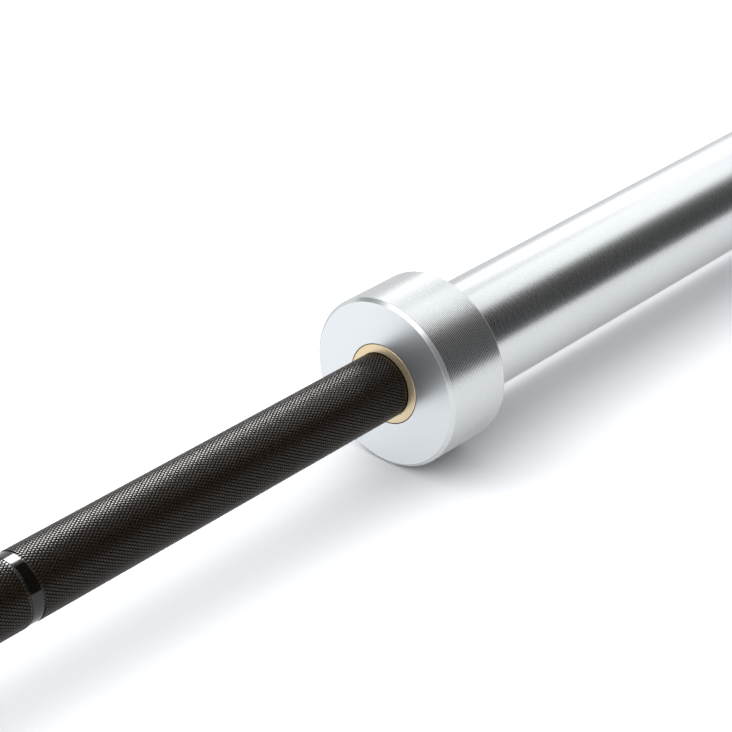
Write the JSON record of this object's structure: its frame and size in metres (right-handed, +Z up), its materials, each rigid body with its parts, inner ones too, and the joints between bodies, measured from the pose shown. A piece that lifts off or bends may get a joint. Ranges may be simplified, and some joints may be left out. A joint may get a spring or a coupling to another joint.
{
  "type": "olympic barbell",
  "caption": "Straight steel barbell: black knurled shaft with smooth mark bands, and bright free-spinning sleeves with stop collars on bronze bushings, for loading weight plates.",
  "frame": {"origin": "middle of the bar, on its axis", "axes": "+X along the bar towards the end that the picture shows, +Z up; the bar lies level, as on the floor or in a rack"},
  "size_m": [2.2, 0.075, 0.075],
  "materials": {
    "black_shaft": "satin",
    "bright_steel": "satin",
    "bushing_bronze": "satin",
    "washer_steel": "satin",
    "spring_steel": "satin",
    "cap_aluminium": "satin",
    "seal_rubber": "matte"
  },
  "bodies": {
    "shaft": {"shaft": "black_shaft", "shaft_snap_ring_left": "spring_steel", "shaft_snap_ring_right": "spring_steel"},
    "sleeve_left": {"sleeve_left": "bright_steel", "collar_left": "bright_steel", "inner_bushing_left": "bushing_bronze", "outer_bushing_left": "bushing_bronze", "end_cap_left": "cap_aluminium", "cap_seal_left": "seal_rubber", "cap_snap_ring_left": "spring_steel"},
    "inner_thrust_washer_left": {"inner_thrust_washer_left": "washer_steel"},
    "outer_thrust_washer_left": {"outer_thrust_washer_left": "washer_steel"},
    "sleeve_right": {"sleeve_right": "bright_steel", "collar_right": "bright_steel", "inner_bushing_right": "bushing_bronze", "outer_bushing_right": "bushing_bronze", "end_cap_right": "cap_aluminium", "cap_seal_right": "seal_rubber", "cap_snap_ring_right": "spring_steel"},
    "inner_thrust_washer_right": {"inner_thrust_washer_right": "washer_steel"},
    "outer_thrust_washer_right": {"outer_thrust_washer_right": "washer_steel"}
  },
  "joints": [
    {"name": "sleeve_left_spin", "type": "hinge", "parent": "shaft", "child": "sleeve_left", "pos_m": [-0.88, 0, 0], "axis": [1, 0, 0], "continuous": true},
    {"name": "inner_thrust_washer_left_spin", "type": "hinge", "parent": "shaft", "child": "inner_thrust_washer_left", "pos_m": [-1.05025, 0, 0], "axis": [1, 0, 0], "continuous": true},
    {"name": "outer_thrust_washer_left_spin", "type": "hinge", "parent": "shaft", "child": "outer_thrust_washer_left", "pos_m": [-1.08245, 0, 0], "axis": [1, 0, 0], "continuous": true},
    {"name": "sleeve_right_spin", "type": "hinge", "parent": "shaft", "child": "sleeve_right", "pos_m": [0.88, 0, 0], "axis": [1, 0, 0], "continuous": true},
    {"name": "inner_thrust_washer_right_spin", "type": "hinge", "parent": "shaft", "child": "inner_thrust_washer_right", "pos_m": [1.05025, 0, 0], "axis": [1, 0, 0], "continuous": true},
    {"name": "outer_thrust_washer_right_spin", "type": "hinge", "parent": "shaft", "child": "outer_thrust_washer_right", "pos_m": [1.08245, 0, 0], "axis": [1, 0, 0], "continuous": true}
  ]
}
